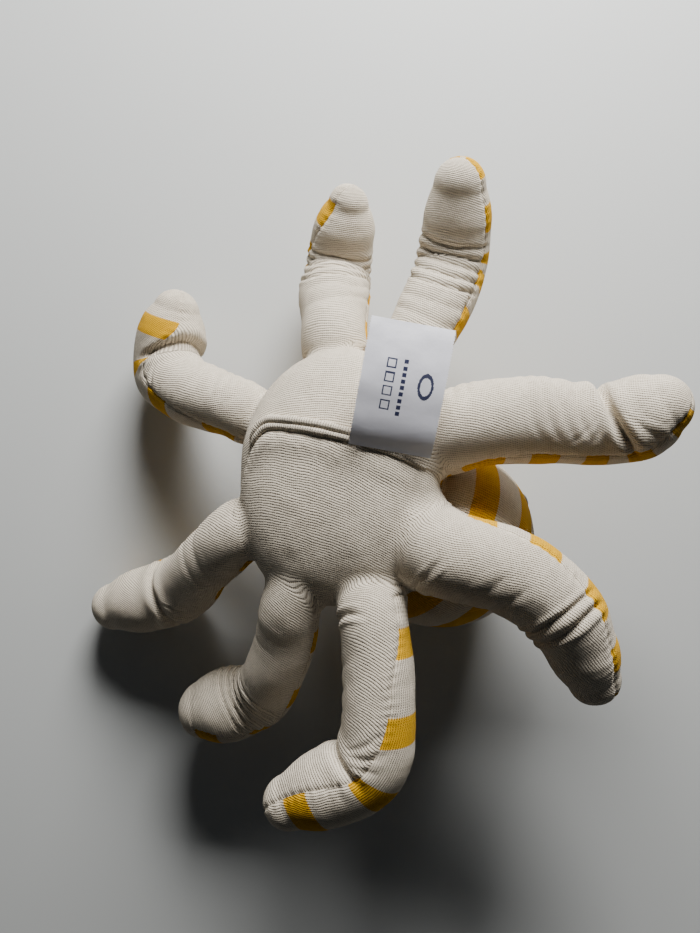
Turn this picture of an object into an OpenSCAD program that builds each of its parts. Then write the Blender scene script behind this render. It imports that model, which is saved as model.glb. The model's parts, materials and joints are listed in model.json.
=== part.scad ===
// Stuffed jersey octopus that lies upside down on its head, with its eight legs spread.
// Every leg is sewn from a striped top panel and a cream under panel around loose filling.

/* [Head] */
// Radius of the stuffed head
head_r = 39; // [36:0.5:40]
// Height of the head's centre above the surface it lies on
head_z = 38; // [35:0.5:39]
// Radius of an embroidered eye
eye_r = 2.6; // [1.5:0.1:4]
// Radius of the neck between the head and the underside
neck_r = 25; // [20:0.5:26]

/* [Underside] */
// Centre of the domed underside
base_at = [-43.5, 28, 68];
// Tilt of the underside about X, then about Y
base_tilt = [-12, -14];
// Radius of each half of the dome
base_r = 44; // [40:0.5:45]
// How far the two halves are shifted apart, which makes the dome oval
base_shift = 3; // [2:0.5:5]
// Height of the dome above its rim
base_rise = 21; // [16:0.5:24]
// Depth of the dome below its rim
base_drop = 15; // [12:0.5:17]
// Half sizes of the oval that the leg roots stand on
ring = [52, 59];

/* [Legs] */
// Radius of a leg where it is pinched by a joint
joint_r = 12.5; // [11:0.25:13]
// Extra radius half way along a thigh or a tip
swell = 1.8; // [0.5:0.1:2.4]
// How far a root lifts the leg
lift_up = 25; // [10:1:30]
// How far a knee opens from its pose at rest
knee_opens = 22; // [5:1:25]
// How far a knee closes from its pose at rest
knee_closes = 12; // [5:1:15]

/* [Care label] */
// Width of the label
label_w = 30; // [20:1:36]
// Visible length of the label
label_l = 46; // [30:1:50]
// Thickness of the label
label_t = 0.5; // [0.3:0.1:1]

/* [Cloth] */
// Thickness of the jersey
cloth = 1.2; // [0.8:0.1:2]
// Height of the closing seam
seam_h = 2.6; // [1:0.1:4]
// Width of the closing seam
seam_w = 4; // [2:0.5:6]
// Distance of the closing seam from the dome's centre
seam_off = 7; // [0:0.5:10]
// Turn of the closing seam in the underside's own plane
seam_turn = -12; // [-20:1:20]

/* [Hidden] */
$fn = 64;
// One row per leg: place on the ring, thigh heading, pitch and length, tip heading, pitch and length.
LEGS = [
    [152, 155, -40, 54, 74, 12, 38],
    [97, 86, -48, 45, 78, 28, 40],
    [58, 63, -23, 45, 91, 26, 42],
    [17, -2, -1, 55, 30, 13, 31],
    [-33, -25, -1, 48, -64, -16, 41],
    [-72, -88, -3, 56, -154, -10, 47],
    [-113, -104, -41, 64, -166, -12, 38],
    [-153, -129, -48, 53, -165, -16, 48],
];
// Roll of each leg about its own axis, which turns the cream side towards or away from above.
ROLLS = [18, 0, -14, 12, 16, 22, 14, 6];
TOP_CLOTH = "goldenrod";
UNDER_CLOTH = "antiquewhite";
FILLING = "whitesmoke";
HALF_TURN = 180;
QUARTER_TURN = 90;
// Clear space between two bodies, and between two pieces of one body.
body_gap = 0.35;
piece_gap = 0.05;
profile_steps = 8;
far = 200;
leg_on_head = 5;
lift_steps = 5;
head_at = [0, 0, head_z];
crown_axis = [0.805, -0.484, -0.342];
eye_axis = [0.922, 0.387, 0.03];
eyes_apart = 46;
eye_h = 0.9;
label_corner = [-37.7, 41, 90.6];
label_turn = [6.5, -1, -10.5];
seam_reach = 37;

function heading_of(h, p) = [cos(h) * cos(p), sin(h) * cos(p), sin(p)];
function unit(v) = v / norm(v);
function leg(i) = LEGS[i - 1];
function on_base(v) =
    let (a = base_tilt[0], b = base_tilt[1])
    let (y = v[1] * cos(a) - v[2] * sin(a), z = v[1] * sin(a) + v[2] * cos(a))
    base_at + [v[0] * cos(b) + z * sin(b), y, z * cos(b) - v[0] * sin(b)];
function root_of(i) = on_base([ring[0] * cos(leg(i)[0]), ring[1] * sin(leg(i)[0]), 0]);
function thigh_dir(i) = heading_of(leg(i)[1], leg(i)[2]);
function tip_dir(i) = heading_of(leg(i)[4], leg(i)[5]);
function knee_of(i) = root_of(i) + leg(i)[3] * thigh_dir(i);
function lift_axis(i) = [sin(leg(i)[1]), -cos(leg(i)[1]), 0];
function bend_of(i) = acos(thigh_dir(i) * tip_dir(i));
function reversed(list) = [for (k = [len(list) - 1:-1:0]) list[k]];
function turned(v, axis, a) = v * cos(a) + cross(axis, v) * sin(a) + axis * (axis * v) * (1 - cos(a));

// Half outline of a thigh or tip of length l, set in by t: a round end at 0, then a slow swell.
function link_outline(l, t) = concat(
    [for (k = [0:profile_steps]) let (a = QUARTER_TURN * (k / profile_steps - 1))
        [(joint_r - t) * cos(a), (joint_r - t) * sin(a)]],
    [for (k = [1:profile_steps]) [joint_r - t + swell * sin(HALF_TURN * k / profile_steps),
        l * k / profile_steps]],
    [[joint_r - t, l + joint_r]]);

// Half outline of the domed underside, set in by t.
function dome_outline(t) = [for (k = [-profile_steps:profile_steps])
    let (a = QUARTER_TURN * k / profile_steps)
    [(base_r - t) * cos(a), ((a > 0 ? base_rise : base_drop) - t) * sin(a)]];

// Turns the local +Z axis to the direction v.
module aim(v) {
    rotate([0, acos(unit(v)[2]), atan2(v[1], v[0])]) children();
}

// The half space behind a plane through the point p, whose normal is n.
module behind(p, n) {
    translate(p) aim(n) translate([-far / 2, -far / 2, -far - body_gap / 2]) cube(far);
}

// One side of a round link, as a cloth shell: side 0 is the cream half, side 1 the striped one.
module link_cloth(l, side, roll) {
    rotate([0, 0, roll + QUARTER_TURN + side * HALF_TURN])
        rotate_extrude(angle = HALF_TURN)
            polygon(concat(link_outline(l, 0), reversed(link_outline(l, cloth))));
}

module link_filling(l) {
    rotate_extrude() polygon(concat(link_outline(l, cloth + piece_gap), [[0, l + joint_r]]));
}

// Keeps what lies on the thigh's side of the knee, with room for the bend's whole range.
module thigh_side(i) {
    axis = unit(cross(thigh_dir(i), tip_dir(i)));
    intersection() {
        children();
        behind(knee_of(i), turned(thigh_dir(i), axis, (bend_of(i) + knee_closes) / 2 + 1));
        behind(knee_of(i), turned(thigh_dir(i), axis, (bend_of(i) - knee_opens) / 2 - 1));
    }
}

module tip_side(i) {
    axis = unit(cross(thigh_dir(i), tip_dir(i)));
    intersection() {
        children();
        behind(knee_of(i), -turned(tip_dir(i), axis, -(bend_of(i) + knee_closes) / 2 - 1));
        behind(knee_of(i), -turned(tip_dir(i), axis, -(bend_of(i) - knee_opens) / 2 + 1));
    }
}

// Room for the head under the leg that lies on it, over the whole of its lift.
module clear_of_head(i) {
    difference() {
        children();
        if (i == leg_on_head) for (a = [0:lift_up / lift_steps:lift_up])
            translate(root_of(i) + turned(head_at - root_of(i), lift_axis(i), -a))
                sphere(head_r + body_gap);
    }
}

// A thigh runs from its root to its knee.
module at_thigh(i) {
    clear_of_head(i) thigh_side(i) translate(root_of(i)) aim(thigh_dir(i)) children();
}

// A tip runs back from its round end to its knee.
module at_tip(i) {
    tip_side(i) translate(knee_of(i) + (leg(i)[6] - joint_r) * tip_dir(i))
        aim(-tip_dir(i)) children();
}

module thigh_under_panel(i) {
    color(UNDER_CLOTH) at_thigh(i) link_cloth(leg(i)[3], 0, ROLLS[i - 1]);
}

module thigh_top_panel(i) {
    color(TOP_CLOTH) at_thigh(i) link_cloth(leg(i)[3], 1, ROLLS[i - 1]);
}

module thigh_filling(i) {
    color(FILLING) at_thigh(i) link_filling(leg(i)[3]);
}

module tip_under_panel(i) {
    color(UNDER_CLOTH) at_tip(i) link_cloth(leg(i)[6] - joint_r, 1, HALF_TURN - ROLLS[i - 1]);
}

module tip_top_panel(i) {
    color(TOP_CLOTH) at_tip(i) link_cloth(leg(i)[6] - joint_r, 0, HALF_TURN - ROLLS[i - 1]);
}

module tip_filling(i) {
    color(FILLING) at_tip(i) link_filling(leg(i)[6] - joint_r);
}

// Places its children in the underside's own tilted frame.
module at_base() {
    translate(base_at) rotate([base_tilt[0], base_tilt[1], 0]) rotate([0, 0, seam_turn]) children();
}

// One part of the dome, on the side s of the closing seam.
module half_dome(s, t, gap) {
    intersection() {
        translate([0, s * base_shift, 0]) rotate_extrude() polygon(dome_outline(t));
        translate([-far / 2, seam_off + (s > 0 ? gap : -far - gap), -far / 2]) cube(far);
    }
}

// Round sockets for the leg roots, and room for the head.
module clear_of_roots_and_head() {
    difference() {
        children();
        for (i = [1:len(LEGS)]) translate(root_of(i)) sphere(joint_r + body_gap);
        translate(head_at) sphere(head_r + piece_gap);
    }
}

module underside_panel(s) {
    color(UNDER_CLOTH) clear_of_roots_and_head() at_base() difference() {
        half_dome(s, 0, piece_gap);
        half_dome(s, cloth, -1);
    }
}

module neck_tube(r) {
    translate(base_at) aim(head_at - base_at) cylinder(r = r, h = norm(head_at - base_at));
}

// The striped tube between the underside and the head.
module neck_cover() {
    color(TOP_CLOTH) clear_of_roots_and_head() difference() {
        neck_tube(neck_r);
        neck_tube(neck_r - cloth);
        at_base() for (s = [-1, 1]) half_dome(s, -piece_gap, -1);
    }
}

module neck_filling() {
    color(FILLING) clear_of_roots_and_head() difference() {
        neck_tube(neck_r - cloth - piece_gap);
        at_base() for (s = [-1, 1]) half_dome(s, -piece_gap, -1);
    }
}

module base_filling() {
    color(FILLING) clear_of_roots_and_head() at_base() union() {
        half_dome(1, cloth + piece_gap, 0);
        half_dome(-1, cloth + piece_gap, 0);
    }
}

// A ridge along the crest of the dome, where its two halves are sewn together.
module closing_seam() {
    crest = [for (k = [-profile_steps:profile_steps]) let (x = seam_reach * k / profile_steps)
        [x, base_rise * sqrt(1 - pow(x / base_r, 2))]];
    color(UNDER_CLOTH) at_base() translate([0, seam_off + seam_w / 2, 0])
        rotate([QUARTER_TURN, 0, 0]) linear_extrude(seam_w) polygon(concat([for (p = crest) p + [0, piece_gap]],
            reversed([for (p = crest) p + [0, seam_h]])));
}

module care_label() {
    color("white") translate(label_corner) rotate(label_turn) cube([label_w, label_l, label_t]);
}

module head_cover() {
    color(TOP_CLOTH) difference() {
        translate(head_at) sphere(head_r);
        translate([-far / 2, -far / 2, -far]) cube(far);
        intersection() {
            translate(head_at) sphere(head_r - cloth);
            translate([-far / 2, -far / 2, cloth]) cube(far);
        }
    }
}

module head_filling() {
    color(FILLING) difference() {
        translate(head_at) sphere(head_r - cloth - piece_gap);
        translate([-far / 2, -far / 2, cloth + piece_gap - far]) cube(far);
    }
}

// An embroidered eye on the head, turned by a about the crown's axis.
module eye(a) {
    at = turned(eye_axis, crown_axis, a);
    color("black") translate(head_at + (head_r + piece_gap) * at) aim(at)
        cylinder(r = eye_r, h = eye_h);
}

LEG_PIECES = ["thigh_under_panel", "thigh_top_panel", "thigh_filling",
    "tip_under_panel", "tip_top_panel", "tip_filling"];
function leg_node(i, k) = str("leg_", i, "_", LEG_PIECES[k]);

head_cover();
head_filling();
eye(0);  // left_eye
eye(-eyes_apart);  // right_eye
neck_cover();
neck_filling();
underside_panel(1);  // upper_underside_panel
underside_panel(-1);  // lower_underside_panel
base_filling();
closing_seam();
care_label();
for (i = [1:len(LEGS)]) {
    thigh_under_panel(i);
    thigh_top_panel(i);
    thigh_filling(i);
    tip_under_panel(i);
    tip_top_panel(i);
    tip_filling(i);
}
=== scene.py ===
"""Stuffed jersey octopus that lies on its head: sewn skins, closing seam, care label, eyes.

The legs and the domed underside are one soft body: a distance field is turned into a mesh, cut
along its seams into panels, and creased where the cloth bunches. Lengths are in millimetres, and
angles in degrees, until a mesh is made.
"""
import json
import math
from collections import namedtuple

import bpy
import numpy as np
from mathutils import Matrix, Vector
from mathutils.bvhtree import BVHTree


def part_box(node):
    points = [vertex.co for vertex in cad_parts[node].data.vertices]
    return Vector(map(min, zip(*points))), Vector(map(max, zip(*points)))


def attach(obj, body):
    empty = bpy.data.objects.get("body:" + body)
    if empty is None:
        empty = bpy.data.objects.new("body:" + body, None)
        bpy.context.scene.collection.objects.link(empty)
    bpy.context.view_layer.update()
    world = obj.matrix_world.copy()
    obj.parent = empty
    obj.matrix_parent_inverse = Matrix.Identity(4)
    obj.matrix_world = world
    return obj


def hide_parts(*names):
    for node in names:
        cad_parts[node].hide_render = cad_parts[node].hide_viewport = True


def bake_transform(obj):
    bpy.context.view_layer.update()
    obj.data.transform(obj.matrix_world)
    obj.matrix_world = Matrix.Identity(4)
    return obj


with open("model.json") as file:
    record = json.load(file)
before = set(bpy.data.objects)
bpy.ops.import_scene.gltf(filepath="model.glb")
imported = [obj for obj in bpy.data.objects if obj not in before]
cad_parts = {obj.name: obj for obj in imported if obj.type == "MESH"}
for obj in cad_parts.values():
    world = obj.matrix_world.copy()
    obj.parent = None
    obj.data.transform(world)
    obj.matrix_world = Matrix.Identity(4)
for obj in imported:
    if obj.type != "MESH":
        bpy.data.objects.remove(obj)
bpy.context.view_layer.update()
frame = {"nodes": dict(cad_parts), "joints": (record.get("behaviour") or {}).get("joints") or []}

MM = 0.001
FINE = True
STEP = 0.85 if FINE else 1.5          # spacing of the distance field
CLOTH = 0.7                           # thickness of the jersey
BODY_FLOOR, HEAD_FLOOR = 0.3, 0.25    # the lowest that their cloth reaches above the table
ROOT_STRETCH = (1.0, 18.0)            # stretch of a thigh next to its root joint, as places along it
KNEE_REACH = 12.0                     # half of the stretch around a knee
INWARD = 16.0                         # how far a leg reaches into the dome
SUNK = 12.0                           # how far below the dome's centre the legs' lines point
UP = np.array([0.0, 0.0, 1.0])


# radii: at the root, mid thigh, knee, mid tip and end. rolls: of the cream side at the root, mid
# thigh, knee and end. rounding: of the bend. bow: of the thigh, to the left. sink: how far the leg
# sinks at its root, and how straight it runs on into the dome. lift: of its end. grain: turn of its
# wales. bands: place of the first yellow band, and pitch. fan, inside the knee: folds in a half
# turn, their depth, reach, half angle, and depth of the main crease. rows, of folds across the leg:
# place, spacing, count, depth, middle angle and half width.
Leg = namedtuple("Leg", "radii rolls rounding bow sink lift grain bands fan rows",
                 defaults=(None, ()))
LEGS = {
    1: Leg((13, 14.6, 15, 15.2, 10.5), (-30, -50, -72, -118), 9, 2.5, (5, 0), 1, 0, (2, 31),
           (9, 1.1, 27, 65, 2.0), ((22, 9, 2, 0.7, 40, 80), (8, 7, 2, 0.7, 40, 80))),
    2: Leg((14, 15.2, 14.6, 13.6, 8.5), (15, 5, -15, -50), 10, 0, (6, 0), 9, 8, (20, 23), None,
           ((41, 4.4, 5, 1.5, -10, 120), (22, 9, 2, 0.5, 30, 90))),
    3: Leg((13.4, 14.6, 14.8, 13.8, 10.5), (35, 40, 40, 38), 10, -1, (3, 0), 9, 8, (36, 21), None,
           ((42, 5.2, 5, 1.5, 0, 120), (20, 8, 2, 0.6, 30, 90))),
    4: Leg((16, 16.3, 15, 15.8, 12), (28, 35, 40, 46), 11, 3, (0, 0), 5, 18, (2, 21),
           (9, 0.5, 27, 60, 2.6), ((4, 5, 2, 0.7, -60, 60), (36, 6, 4, 0.6, 0, 80))),
    5: Leg((16.4, 16, 15, 13.6, 10), (-10, -34, -50, -62), 7, 4.5, (3, 0), 0, -20, (6, 22), None,
           ((47, 6.5, 2, 2.2, 0, 125), (3, 6, 1, 0.9, 50, 60), (24, 9, 2, 0.6, 40, 80))),
    6: Leg((13, 13.4, 14.6, 14.8, 10.5), (-45, -74, -104, -122), 10, 1.5, (4, 0), 0, 6, (8, 31),
           (9, 1.0, 26, 65, 1.3), ((3.5, 7, 1, 1.4, 35, 75), (30, 9, 3, 0.7, 60, 70))),
    7: Leg((12.4, 12.8, 14, 16, 12.5), (-20, -27, -35, -66), 9, 3.5, (12, 0.45), 0, 16, (12, 27),
           None, ((60, 4.4, 5, 1.6, 0, 120), (20, 9, 2, 0.4, 60, 90))),
    8: Leg((13, 12.9, 14.8, 14.8, 11), (-22, -8, 0, 0), 12, 0, (9, 0.4), 0, 5, (0, 27),
           (9, 0.8, 25, 50, 1.5), ((20, 9, 2, 0.5, 30, 90),)),
}


# ---- small helpers

def unit(v):
    return v / np.linalg.norm(v)


def unit_rows(v):
    return v / np.linalg.norm(v, axis=1)[:, None]


def smoothstep(a, b, x):
    t = np.clip((x - a) / (b - a), 0, 1)
    return t * t * (3 - 2 * t)


def bell(x, width):
    return np.exp(-(x / width) ** 2)


def smooth_min(a, b, k):
    h = np.maximum(k - np.abs(a - b), 0) / k
    return np.minimum(a, b) - h * h * k / 4


def lumps(points, size, seed):
    """Smooth noise from -1 to 1 with lumps of that size."""
    n = 32
    grid = np.random.default_rng(seed).uniform(-1, 1, (n, n, n))
    q = points / size + 1000
    base = np.floor(q).astype(int)
    f = q - base
    f = f * f * (3 - 2 * f)
    total = 0
    for i in (0, 1):
        for j in (0, 1):
            for k in (0, 1):
                w = (np.abs(1 - i - f[:, 0]) * np.abs(1 - j - f[:, 1])
                     * np.abs(1 - k - f[:, 2]))
                total = total + w * grid[(base[:, 0] + i) % n, (base[:, 1] + j) % n,
                                         (base[:, 2] + k) % n]
    return total


def run(points):
    """The length of a line from its first point to each point."""
    return np.concatenate([[0], np.cumsum(np.linalg.norm(np.diff(points, axis=0), axis=1))])


def smoothed(rows, rounds):
    """Rows evened out with their neighbours, between the first and the last."""
    rows = rows.copy()
    for _ in range(rounds):
        rows[1:-1] = (rows[:-2] + 2 * rows[1:-1] + rows[2:]) / 4
    return rows


def summed(index, rows, count):
    """Rows of three values, added up by their index."""
    return np.stack([np.bincount(index, rows[:, c], count) for c in range(3)], 1)


def from_stripes(along, first, pitch):
    """Distance from the middle of the nearest stripe."""
    return np.abs((along - first + pitch / 2) % pitch - pitch / 2)


def stretch(a, b):
    """Points about 1 mm apart from a to b, without a itself."""
    return [a + (b - a) * t for t in np.linspace(0, 1, int(np.linalg.norm(b - a)) + 1)[1:]]


def node_points(node):
    return np.array([v.co for v in frame["nodes"][node].data.vertices]) / MM


def joint_at(name):
    joint = next(j for j in frame["joints"] if j["name"] == name)
    return np.array(joint["pos_m"]) / MM


# ---- the legs' centre lines

head_low, head_high = (np.array(c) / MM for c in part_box("head_cover"))
HEAD_AT = (head_low + head_high) / 2
HEAD_R = (head_high[0] - head_low[0]) / 2
BASE_AT = np.array([-43.5, 28.0, 68.0])     # the centre of the domed underside
DOME_HALF = np.array([39.5, 49.0])          # the half sizes of its oval rim
LONGER, SQUARER = 1.06, 2.7                 # its lower half is longer, and less round
DOME_RISE, DOME_DROP = 21.0, 16.0           # its height above and below the rim
PUFF = 2.25                                 # 2 is an ellipsoid, more has steeper sides
SLOPE_FROM, LOWER_SLOPE = 12.0, 0.16        # extra fall of the dome beyond its seam
BASE_TILT = np.radians([-12.0, -14.0])      # about X, then about Y
NECK_R, NECK_DEPTH = 23.0, 16.0             # the neck ends that far below the dome's centre
LINE_STEP = 2.2                             # between two points of a leg's line


def base_axes():
    """The dome's own X, Y and Z axes as columns."""
    a, b = BASE_TILT
    about_x = np.array([[1, 0, 0], [0, math.cos(a), -math.sin(a)], [0, math.sin(a), math.cos(a)]])
    about_y = np.array([[math.cos(b), 0, math.sin(b)], [0, 1, 0], [-math.sin(b), 0, math.cos(b)]])
    return about_y @ about_x


BASE_AXES = base_axes()


class Line:
    """A leg's centre line, from inside the dome to near its end, with its frame at each point."""

    def __init__(self, number):
        leg = LEGS[number]
        self.leg = leg
        self.root, self.knee = joint_at(f"leg_{number}_root"), joint_at(f"leg_{number}_knee")
        tip = node_points(f"leg_{number}_tip_filling")
        far = tip[np.argmax(np.linalg.norm(tip - self.knee, axis=1))]
        self.thigh = unit(self.knee - self.root)
        self.tip = unit(far - self.knee)
        self.thigh_length = np.linalg.norm(self.knee - self.root)
        end = far + self.tip * (1.5 - leg.radii[-1] - 0.4 * leg.lift)
        self.points = self.sampled(end)
        self.places = run(self.points)
        nearest = np.argmin(np.linalg.norm(self.points - self.root, axis=1))
        self.places -= self.places[nearest]
        self.directions = unit_rows(np.gradient(self.points, axis=0))
        total, knee = self.places[-1], self.thigh_length
        stations = [0, knee / 2, knee, (knee + total) / 2, total]
        self.radii = self.eased(stations, leg.radii)
        self.radii *= 1 - 0.4 * smoothstep(4, INWARD, -self.places)
        rolls = np.radians(self.eased([0, knee / 2, knee, total], leg.rolls))
        up = unit_rows(UP - self.directions * (self.directions @ UP)[:, None])
        left = unit_rows(np.cross(UP, self.directions))
        self.cream = up * np.cos(rolls)[:, None] + left * np.sin(rolls)[:, None]
        self.across = np.cross(self.directions, self.cream)
        turns = np.gradient(self.directions, axis=0)
        self.turned = np.stack([np.cumsum((turns * side).sum(1))
                                for side in (self.cream, self.across)])
        outer = self.points - self.cream * self.radii[:, None]
        self.cloth_places = run(outer)
        self.cloth_places -= np.interp(0, self.places, self.cloth_places)

    def sampled(self, end):
        """The centre line: two straight links with a rounded knee and root, and a bowed thigh."""
        reach = self.leg.rounding
        a, b = self.knee - self.thigh * reach, self.knee + self.tip * reach
        sink, straight = self.leg.sink
        inward = unit(BASE_AT - BASE_AXES[:, 2] * SUNK - self.root)
        start = self.root + unit(inward * (1 - straight) - self.thigh * straight) * INWARD
        bend = [a * (1 - t) ** 2 + self.knee * 2 * t * (1 - t) + b * t * t
                for t in np.linspace(0, 1, 24)[1:]]
        points = np.array([start, *stretch(start, self.root), *stretch(self.root, a), *bend,
                           *stretch(b, end)])
        along = np.clip(run(points) - INWARD, 0, self.thigh_length) / self.thigh_length
        left = unit(np.cross(UP, self.thigh))
        points += np.outer(np.sin(math.pi * along) * self.leg.bow, left)
        points -= np.outer((1 - smoothstep(0, 0.7, along)) * sink, BASE_AXES[:, 2])
        past = np.clip(run(points) - INWARD - self.thigh_length, 0, None)
        points += np.outer(past / past[-1] * self.leg.lift, UP)
        points = smoothed(points, 30)
        places = run(points)
        even = np.linspace(0, places[-1], int(places[-1] / LINE_STEP))
        return np.stack([np.interp(even, places, points[:, c]) for c in range(3)], 1)

    def eased(self, stations, values):
        """Values at the line's points, eased from station to station."""
        stations = np.array(stations, float)
        k = np.clip(np.searchsorted(stations, self.places) - 1, 0, len(stations) - 2)
        t = smoothstep(0, 1, (self.places - stations[k]) / (stations[k + 1] - stations[k]))
        values = np.array(values, float)
        return values[k] * (1 - t) + values[k + 1] * t

    def lag(self, data, share):
        """How much shorter the cloth is than the centre line at each point, because of the bends
        before it, less that share of all the bends."""
        bent = [np.interp(data["place"], self.places, t) - share * t[-1] for t in self.turned]
        return data["cream"] * bent[0] + data["across"] * bent[1]

    def measure(self, points):
        """For each point: distance from the leg's surface, place, cloth place, offset from the
        centre line towards the cream side and across it, and the leg's radius there."""
        closest = np.full(len(points), np.inf)
        out = np.zeros((len(points), 5))
        ahead = np.stack([(points - c) @ d for c, d in zip(self.points, self.directions)])
        last = len(self.points) - 2
        for k in range(last + 1):
            before, after = ahead[k], ahead[k + 1]
            step = self.points[k + 1] - self.points[k]
            length = np.linalg.norm(step)
            t = before / np.maximum(before - after, 1e-6)
            here = (before >= 0) & (after < 0)
            if k == 0:
                here |= before < 0
                t = np.where(before < 0, before / length, t)
            if k == last:
                here |= after >= 0
                t = np.where(after >= 0, 1 + after / length, t)
            index = np.flatnonzero(here)
            t, share = t[index, None], np.clip(t[index, None], 0, 1)
            offset = points[index] - self.points[k] - share * step
            from_line = np.linalg.norm(offset, axis=1)
            nearer = from_line < closest[index]
            index, t, share, offset = index[nearer], t[nearer], share[nearer], offset[nearer]
            closest[index] = from_line[nearer]
            between = lambda values, s: values[k] * (1 - s) + values[k + 1] * s
            out[index] = np.stack([
                between(self.places, t[:, 0]), between(self.cloth_places, t[:, 0]),
                (offset * between(self.cream, share)).sum(1),
                (offset * between(self.across, share)).sum(1),
                between(self.radii, share[:, 0])], axis=1)
        past = np.maximum(out[:, 0] - self.places[-1], 0)
        from_line = np.hypot(out[:, 2], out[:, 3])
        bend = np.hypot(past, from_line) * np.arctan2(past, from_line) - past
        out[:, 0] += bend
        out[:, 1] += bend
        return closest - out[:, 4], out


LINES = {number: Line(number) for number in LEGS}


# ---- distance fields

def on_dome(points):
    """Places from the dome's centre along its own axes, with its lower half's slope taken out."""
    q = (points - BASE_AT) @ BASE_AXES
    past = SLOPE_FROM - q[:, 1]
    q[:, 2] += LOWER_SLOPE * smoothstep(-4, 10, past) * past
    return q


def from_middle(q):
    """How far out each place on the dome is: 1 at its rim."""
    x, y = np.abs(q[:, 0]) / DOME_HALF[0], q[:, 1] / DOME_HALF[1]
    low = np.maximum(-y, 0) / LONGER
    return np.where(y > 0, np.hypot(x, y), (x ** SQUARER + low ** SQUARER) ** (1 / SQUARER))


def dome_shape(points):
    """Places on the dome, its height there, how far out they are, and how large a dome they lie on,
    where the real one is 1."""
    q = on_dome(points)
    height = np.where(q[:, 2] > 0, DOME_RISE, DOME_DROP)
    flat, tall = from_middle(q), np.abs(q[:, 2]) / height
    return q, height, flat, (flat ** PUFF + tall ** PUFF) ** (1 / PUFF)


def dome_distance(points):
    q, height, _, k = dome_shape(points)
    slope = np.hypot(np.hypot(q[:, 0] / DOME_HALF[0] ** 2, q[:, 1] / DOME_HALF[1] ** 2),
                     q[:, 2] / height ** 2)
    return k * (k - 1) / np.maximum(slope, 1e-6)


def capsule_distance(a, b, ra, rb):
    step = b - a

    def distance(points):
        t = np.clip((points - a) @ step / (step @ step), 0, 1)
        return np.linalg.norm(points - a - t[:, None] * step, axis=1) - ra - (rb - ra) * t
    return distance


def head_distance(points):
    """The round head, and the neck that rises from it into the dome."""
    ball = np.linalg.norm(points - HEAD_AT, axis=1) - HEAD_R
    neck_end = BASE_AT - BASE_AXES[:, 2] * NECK_DEPTH
    return smooth_min(ball, capsule_distance(HEAD_AT, neck_end, NECK_R, NECK_R)(points), 10)


class Field:
    """A block of distance values on a grid."""

    def __init__(self, low, high):
        self.low = np.array(low, float)
        self.shape = np.ceil((np.array(high) - low) / STEP).astype(int) + 1
        self.values = np.full(self.shape, 20.0)

    def block(self, low, high):
        a = np.clip(np.floor((low - self.low) / STEP).astype(int), 0, self.shape)
        b = np.clip(np.ceil((high - self.low) / STEP).astype(int) + 1, 0, self.shape)
        where = tuple(slice(i, j) for i, j in zip(a, b))
        axes = [self.low[i] + STEP * np.arange(a[i], b[i]) for i in range(3)]
        points = np.stack(np.meshgrid(*axes, indexing="ij"), axis=-1).reshape(-1, 3)
        return where, points, tuple(b - a)

    def join(self, distance, low, high, soft=None):
        where, points, shape = self.block(low, high)
        d = distance(points).reshape(shape)
        old = self.values[where]
        self.values[where] = (smooth_min(old, d, soft(points).reshape(shape)) if soft
                              else np.minimum(old, d))

    def rest_on_table(self, height=0.35, soft=2.0):
        z = self.low[2] + STEP * np.arange(self.shape[2])
        self.values = -smooth_min(-self.values, (z - height)[None, None, :], soft)


def surface_net(field):
    """Quads of the surface where the field is 0, with one point in each cell that it crosses."""
    inside = field.values < 0
    nx, ny, nz = inside.shape
    count = sum(inside[i:nx - 1 + i, j:ny - 1 + j, k:nz - 1 + k].astype(np.int8)
                for i in (0, 1) for j in (0, 1) for k in (0, 1))
    mixed = (count > 0) & (count < 8)
    cells = np.argwhere(mixed)
    number = np.full(mixed.shape, -1, np.int64)
    number[mixed] = np.arange(len(cells))
    total, hits = np.zeros((len(cells), 3)), np.zeros(len(cells))
    for axis in range(3):
        u, v = [k for k in range(3) if k != axis]
        for a in (0, 1):
            for b in (0, 1):
                low = np.zeros(3, int)
                low[u], low[v] = a, b
                high = low.copy()
                high[axis] = 1
                f0 = field.values[tuple((cells + low).T)]
                f1 = field.values[tuple((cells + high).T)]
                cross = (f0 < 0) != (f1 < 0)
                t = np.where(cross, f0 / np.where(cross, f0 - f1, 1), 0)
                total += (low + t[:, None] * (high - low)) * cross[:, None]
                hits += cross
    points = field.low + STEP * (cells + total / hits[:, None])
    quads = []
    for axis in range(3):
        u, v = (axis + 1) % 3, (axis + 2) % 3
        first = [slice(None)] * 3
        second = [slice(None)] * 3
        first[axis], second[axis] = slice(0, -1), slice(1, None)
        a, b = inside[tuple(first)], inside[tuple(second)]
        edge = np.argwhere(a != b)
        edge = edge[(edge[:, u] > 0) & (edge[:, v] > 0)]
        edge = edge[(edge[:, u] < inside.shape[u] - 1) & (edge[:, v] < inside.shape[v] - 1)]
        du, dv = np.eye(3, dtype=int)[u], np.eye(3, dtype=int)[v]
        quad = np.stack([number[tuple(edge.T)], number[tuple((edge - du).T)],
                         number[tuple((edge - du - dv).T)], number[tuple((edge - dv).T)]], 1)
        outward = a[tuple(edge.T)]
        quads.append(np.where(outward[:, None], quad, quad[:, ::-1]))
    return points, np.concatenate(quads)


def relax(points, quads, rounds=4):
    """Evens the net out, without shrinking it."""
    edges = np.concatenate([quads[:, [k, (k + 1) % 4]] for k in range(4)])
    degree = np.maximum(np.bincount(edges[:, 0], minlength=len(points)).astype(float), 1)
    for k in range(rounds):
        share = 0.5 if k % 2 == 0 else -0.52
        mean = summed(edges[:, 0], points[edges[:, 1]], len(points)) / degree[:, None]
        points = points + share * (mean - points)
    return points


# ---- meshes cut along seams

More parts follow.
